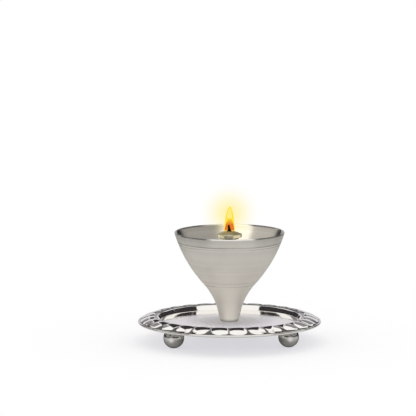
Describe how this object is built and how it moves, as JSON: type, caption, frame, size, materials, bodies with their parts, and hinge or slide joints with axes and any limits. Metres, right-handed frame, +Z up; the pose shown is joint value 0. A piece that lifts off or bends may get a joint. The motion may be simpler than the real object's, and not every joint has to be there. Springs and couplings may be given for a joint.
{
  "type": "oil lamp",
  "caption": "Devotional oil lamp: a satin funnel cup with a lift-out wick holder, fixed on a polished round tray with a gadrooned border and ball feet.",
  "frame": {"origin": "on the ground, under the middle of the tray", "axes": "+Z up along the axis of the cup, -Y towards the front, where the left and right feet are"},
  "size_m": [0.12, 0.12, 0.0777],
  "materials": {
    "polished_nickel": "mirror polished nickel plate",
    "satin_nickel": "satin turned nickel plate",
    "satin_steel": "satin steel",
    "plated_screw": "zinc plated steel",
    "pale_brass": "turned nickel-plated brass",
    "cotton": "twisted cotton, charred at the tip"
  },
  "bodies": {
    "lamp_stand": {"tray": "polished_nickel", "foot_left": "satin_steel", "foot_right": "satin_steel", "foot_rear": "satin_steel", "foot_studs": "plated_screw", "stem": "satin_nickel", "oil_bowl": "satin_nickel", "stem_screw": "plated_screw", "stem_washer": "plated_screw"},
    "wick_holder": {"wick_base": "pale_brass", "wick_tube": "pale_brass", "wick_cap": "pale_brass"},
    "wick": {"wick": "cotton"}
  },
  "joints": [
    {"name": "wick_holder_lift", "type": "slide", "parent": "lamp_stand", "child": "wick_holder", "axis": [0, 0, 1], "range_m": [0, 0.045]},
    {"name": "wick_feed", "type": "slide", "parent": "wick_holder", "child": "wick", "axis": [0, 0, 1], "range_m": [0, 0.008]}
  ]
}
